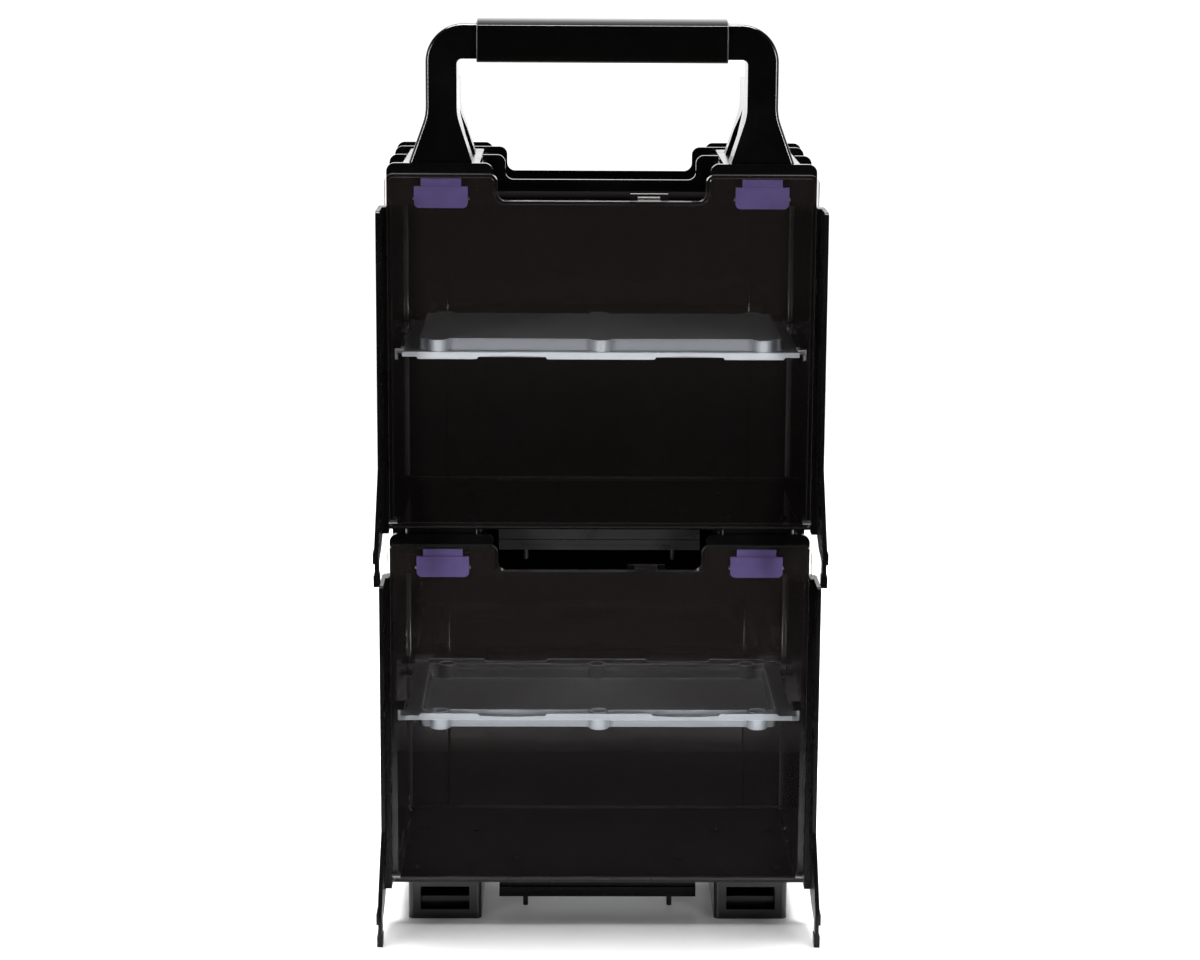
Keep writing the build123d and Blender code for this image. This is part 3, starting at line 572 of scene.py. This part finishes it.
# %% Beads in the corners and ribs on the back walls
# painted highlight: the corner beads are a grey far lighter than the trays' black
CORNER_HIGHLIGHT_GREY = satin_black("corner highlight grey", 0.03, 0.00002, 0.22)
RIGHT, LEFT, OUT, UP = (1, 0, 0), (-1, 0, 0), (0, -1, 0), (0, 0, 1)
for module in ("lower", "upper"):
    walls = BAYS[module]
    tall, wide = walls["ceiling"] - walls["floor"], walls["right"] - walls["left"]
    left, right = [(walls[side], walls["back"], walls["floor"]) for side in ("left", "right")]
    beads = bmesh.new()
    bead(beads, left, (RIGHT, OUT), UP, tall)
    bead(beads, right, (LEFT, OUT), UP, tall)
    bead(beads, left, (UP, OUT), RIGHT, wide)
    ribs = bmesh.new()
    for x in (-RIB_PLACE, RIB_PLACE):
        for way in (LEFT, RIGHT):
            bead(ribs, (x, walls["back"], walls["floor"]), (way, OUT), UP, tall, RIB_RADIUS)
    for kind, shape, finish in (("corner_beads", beads, CORNER_HIGHLIGHT_GREY), ("back_ribs", ribs, SHELL_BLACK)):
        bmesh.ops.recalc_face_normals(shape, faces=shape.faces)
        mesh = bpy.data.meshes.new(f"{module}_{kind}")
        shape.to_mesh(mesh)
        shape.free()
        finish_piece(mesh, f"{module}_{kind}", f"{module}_case_shell", finish)
print("beads and ribs laid")

# %% [markdown]
# ## Steel pins
#
# The pins stay as the CAD drew them, and only get their metal.

# %% Dress the pins
for module in ("lower", "upper"):
    for part in ("door_pins", "latch_pins"):
        for holder in frame["nodes"][f"{module}_{part}"].material_slots:
            holder.link, holder.material = "OBJECT", STEEL
print("pins dressed, slots:", len(frame["nodes"]["upper_door_pins"].material_slots))

# %% [markdown]
# ## Screws with a cross drive
#
# A pan-head screw is a low dome with a cross-shaped recess, on a shank as long as the CAD's. We
# spin half of its outline round the axis with one operator. The recess is a grid with its corner
# squares taken off, extruded down and cut out of the head with a Boolean modifier. A copy of the
# screw then goes to each place that the CAD node gives, and each is turned a little further,
# as screws end up in real life.

# %% The outline of a screw and the shape of its cross
def screw_shape(head_radius, head_height, shank_radius, shank_length):
    """A pan-head screw along +Z, with the underside of its head at the origin."""
    shape = bmesh.new()
    outline = [(0.0, head_height), (head_radius * 0.45, head_height),
               (head_radius * 0.82, head_height * 0.86), (head_radius, head_height * 0.45),
               (head_radius, 0.0), (shank_radius, 0.0), (shank_radius, -shank_length),
               (0.0, -shank_length)]
    points = [shape.verts.new((r, 0.0, z)) for r, z in outline]
    edges = [shape.edges.new(pair) for pair in zip(points, points[1:])]
    bmesh.ops.spin(shape, geom=points + edges, axis=(0, 0, 1), cent=(0, 0, 0), steps=24,
                   angle=math.tau, use_merge=True)
    bmesh.ops.remove_doubles(shape, verts=shape.verts, dist=0.004 * MM)
    return shape


def cross_cutter(reach, width, depth, top):
    """The cross that is cut out of a screw's head, as one closed shape."""
    shape = bmesh.new()
    bmesh.ops.create_grid(shape, x_segments=3, y_segments=3, size=1.0)
    for vert in shape.verts:
        inner_x, inner_y = (abs(v) < 0.9 for v in vert.co.xy)
        vert.co.x = math.copysign(width if inner_x else reach, vert.co.x)
        vert.co.y = math.copysign(width if inner_y else reach, vert.co.y)
        vert.co.z = top
    corners = [face for face in shape.faces if min(abs(v) for v in face.calc_center_median().xy) > width]
    bmesh.ops.delete(shape, geom=corners, context="FACES")
    raised = bmesh.ops.extrude_face_region(shape, geom=shape.faces[:])["geom"]
    moved = [v for v in raised if isinstance(v, bmesh.types.BMVert)]
    bmesh.ops.translate(shape, verts=moved, vec=(0, 0, -depth))
    bmesh.ops.recalc_face_normals(shape, faces=shape.faces)
    return shape


print("screw outline ready")


# %% Cut the cross out of the head
def drilled_screw(head_radius, head_height, shank_radius, shank_length):
    """One screw with its cross cut in, as a mesh along +Z."""
    objects = []
    for name, shape in (("head", screw_shape(head_radius, head_height, shank_radius, shank_length)),
                        ("cross", cross_cutter(head_radius * 0.55, head_radius * 0.13, head_height * 0.6,
                                               head_height * 1.1))):
        mesh = bpy.data.meshes.new(name)
        shape.to_mesh(mesh)
        shape.free()
        objects.append(bpy.data.objects.new(name, mesh))
        bpy.context.scene.collection.objects.link(objects[-1])
    cut = objects[0].modifiers.new("cross", "BOOLEAN")
    cut.operation, cut.object, cut.solver = "DIFFERENCE", objects[1], "EXACT"
    bpy.context.view_layer.update()
    result = bpy.data.meshes.new_from_object(objects[0].evaluated_get(bpy.context.evaluated_depsgraph_get()))
    for item in objects:
        bpy.data.objects.remove(item)
    return result


print("screw cutter ready")


# %% Find the CAD screws and spread the copies
def solids_of(node):
    """The lowest and highest corner of each separate solid in a CAD node, in order of place."""
    shape = merged_copy(node)
    left, found = set(shape.verts), []
    while left:
        island, edge = set(), [left.pop()]
        while edge:
            vert = edge.pop()
            island.add(vert)
            for line in vert.link_edges:
                other = line.other_vert(vert)
                if other in left:
                    left.remove(other)
                    edge.append(other)
        low = [min(v.co[i] for v in island) for i in range(3)]
        high = [max(v.co[i] for v in island) for i in range(3)]
        found.append((low, high))
    shape.free()
    # sorted to a hundredth of a millimetre, so that every run turns the same screw the same way
    found.sort(key=lambda corners: [round(v, 5) for v in corners[0]])
    return found


TWIST = 0.7  # how much further each screw is turned than the one before, in radians


def place_screws(node, axis, head_radius, head_height, shank_radius):
    """Copies of one screw at each solid of a CAD node; axis points out of the head."""
    way = Vector(axis)
    turn = Vector((0, 0, 1)).rotation_difference(way).to_matrix().to_4x4()
    whole = bmesh.new()
    spots = solids_of(node)
    length = sum((h - l) * abs(a) for l, h, a in zip(*spots[0], axis)) - head_height
    screw = drilled_screw(head_radius, head_height, shank_radius, length)
    for count, (low, high) in enumerate(spots):
        middle = Vector([(l + h) / 2 for l, h in zip(low, high)])
        seat = middle + way * ((length + head_height) / 2 - head_height)
        twist = Matrix.Rotation(TWIST * count, 4, "Z")
        copy = screw.copy()
        copy.transform(Matrix.Translation(seat) @ turn @ twist)
        whole.from_mesh(copy)
        bpy.data.meshes.remove(copy)
    mesh = bpy.data.meshes.new(node + "_cross_head")
    whole.to_mesh(mesh)
    whole.free()
    piece = finish_piece(mesh, node + "_cross_head", node, OXIDE)
    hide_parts(node)
    return len(spots)


print("each screw turned by", TWIST, "radians")


# %% Place the screws
SMALL_SCREW = (1.7 * MM, 1.2 * MM, 1.0 * MM)  # radius of the head, its height, radius of the shank
GRIP_SCREW = (2.4 * MM, 1.2 * MM, 1.3 * MM)
placed = 0
for module in ("lower", "upper"):
    placed += place_screws(f"{module}_guard_screws", (0, 1, 0), *SMALL_SCREW)
    placed += place_screws(f"{module}_base_screws", (0, 0, 1), *SMALL_SCREW)
placed += place_screws("grip_screws", (0, 1, 0), *GRIP_SCREW)
print("screws placed:", placed)

# %% [markdown]
# ## Camera
#
# The photograph was taken with a long lens, a little above the case and looking down eleven
# degrees. The numbers below come from fitting about a hundred edges of the case to the picture.

# %% Place the camera
DIP, YAW, ROLL = 0.1982, 0.0127, 0.0055
STAND = (-0.0179, -1.44097, 0.50997)
FOCAL_LENGTH, SENSOR_WIDTH = 87.05, 36.0
ahead = Vector((math.sin(YAW) * math.cos(DIP), math.cos(YAW) * math.cos(DIP), -math.sin(DIP)))
level = Vector((math.cos(YAW), -math.sin(YAW), 0.0))
over = level.cross(ahead)
side = level * math.cos(ROLL) + over * math.sin(ROLL)
top = over * math.cos(ROLL) - level * math.sin(ROLL)
lens = bpy.data.cameras.new("camera")
lens.lens, lens.sensor_width, lens.sensor_fit = FOCAL_LENGTH, SENSOR_WIDTH, "HORIZONTAL"
lens.clip_start, lens.clip_end = 0.05, 60.0
camera = bpy.data.objects.new("camera", lens)
camera.matrix_world = Matrix.Translation(STAND) @ Matrix((side, top, -ahead)).transposed().to_4x4()
bpy.context.scene.collection.objects.link(camera)
bpy.context.scene.camera = camera
print("camera at", [round(v, 3) for v in camera.matrix_world.translation])

# %% [markdown]
# ## White table
#
# The case stands on a slightly glossy white table. We make it a round disc whose edge fades out
# into the pale wall behind, so that no line shows where the table ends.

# %% Lay the table
TABLE_REACH = 1.1
TABLE_CENTRE = Vector((0.0, 0.66, 0.0))
FADES_FROM, FADES_TO = 0.75 * TABLE_REACH, 0.99 * TABLE_REACH


def white_floor():
    """White laminate, faintly uneven, that fades out near the table's edge."""
    finish = Finish("white table", IOR=1.4)
    speck = finish.noise(40.0, 3.0)
    finish.feed("Base Color", finish.ramp(speck, [(0.2, (0.88, 0.88, 0.88)), (0.8, (0.91, 0.91, 0.91))]))
    finish.feed("Roughness", finish.span(speck, 0.2, 0.8, 0.16, 0.26))
    reach = finish.node("ShaderNodeVectorMath", {"operation": "DISTANCE"},
                        {0: finish.place, 1: TABLE_CENTRE})["Value"]
    finish.see_through((1.0, 1.0, 1.0), 1 - finish.span(reach, FADES_FROM, FADES_TO))
    return finish.material


table = bmesh.new()
bmesh.ops.create_circle(table, cap_ends=True, segments=96, radius=TABLE_REACH,
                        matrix=Matrix.Translation(TABLE_CENTRE))
mesh = bpy.data.meshes.new("table")
table.to_mesh(mesh)
table.free()
floor = bpy.data.objects.new("table", mesh)
mesh.materials.append(white_floor())
bpy.context.scene.collection.objects.link(floor)
print("table reaches", TABLE_REACH, "m")

# %% [markdown]
# ## Sky
#
# Behind the case is a bright white wall, and the room on the camera's side is dark, which is why
# the front faces stay black while every grazing surface turns light grey. A sky whose brightness
# depends on direction does the same with no wall to build. Rays straight from the camera see
# an even pale background instead.

# %% Make the sky
world = bpy.data.worlds.new("studio")
world.use_nodes = True
bpy.context.scene.world = world
sky = world.node_tree.nodes
link = world.node_tree.links.new


def sky_step(source, low, high, to_low, to_high):
    """A soft step of brightness along one direction of the sky."""
    step = sky.new("ShaderNodeMapRange")
    step.interpolation_type = "SMOOTHSTEP"
    for name, value in (("From Min", low), ("From Max", high), ("To Min", to_low), ("To Max", to_high)):
        step.inputs[name].default_value = value
    link(source, step.inputs["Value"])
    return step.outputs["Result"]


where = sky.new("ShaderNodeTexCoord")
split = sky.new("ShaderNodeSeparateXYZ")
link(where.outputs["Generated"], split.inputs[0])
behind = sky_step(split.outputs["Y"], -0.3, 0.4, 0.02, 1.6)
low_down = sky_step(split.outputs["Z"], 0.3, 0.7, 1.0, 0.2)
room = sky.new("ShaderNodeMath")
room.operation = "MULTIPLY"
link(behind, room.inputs[0])
link(low_down, room.inputs[1])
seen = sky.new("ShaderNodeLightPath")
pale = sky.new("ShaderNodeMix")
link(seen.outputs["Is Camera Ray"], pale.inputs["Factor"])
link(room.outputs[0], pale.inputs["A"])
pale.inputs["B"].default_value = 1.2
link(pale.outputs["Result"], sky["Background"].inputs["Strength"])
sky["Background"].inputs["Color"].default_value = (1.0, 1.0, 1.0, 1.0)
print("sky ready")

# %% [markdown]
# ## Lamps
#
# A wide lamp hangs overhead, a little behind the case, and lights the ledges, shelves and table.
# Two narrow ones stand low in front, to the left and right. They pick out the rounded edges, and
# are kept weak so that the shadow under the case stays soft and dark.

# %% Hang the lamps
def soft_lamp(name, place, aim, size, power, spread):
    """A rectangular lamp at a place, turned to an aim; spread is in degrees."""
    lamp = bpy.data.lights.new(name, "AREA")
    lamp.shape, lamp.size, lamp.size_y, lamp.energy = "RECTANGLE", size[0], size[1], power
    lamp.spread = math.radians(spread)
    holder = bpy.data.objects.new(name, lamp)
    way = Vector(aim) - Vector(place)
    holder.matrix_world = Matrix.Translation(place) @ way.to_track_quat("-Z", "Y").to_matrix().to_4x4()
    bpy.context.scene.collection.objects.link(holder)


soft_lamp("overhead", (0.0, 0.14, 1.6), (0.0, 0.14, 0.0), (1.3, 0.5), 40.0, 120)
for side_name, x in (("left", -1.3), ("right", 1.3)):
    soft_lamp(side_name, (x, -1.6, 0.35), (0.0, 0.0, 0.25), (0.4, 0.8), 1.36, 32)
bpy.context.scene.view_settings.view_transform = "Standard"
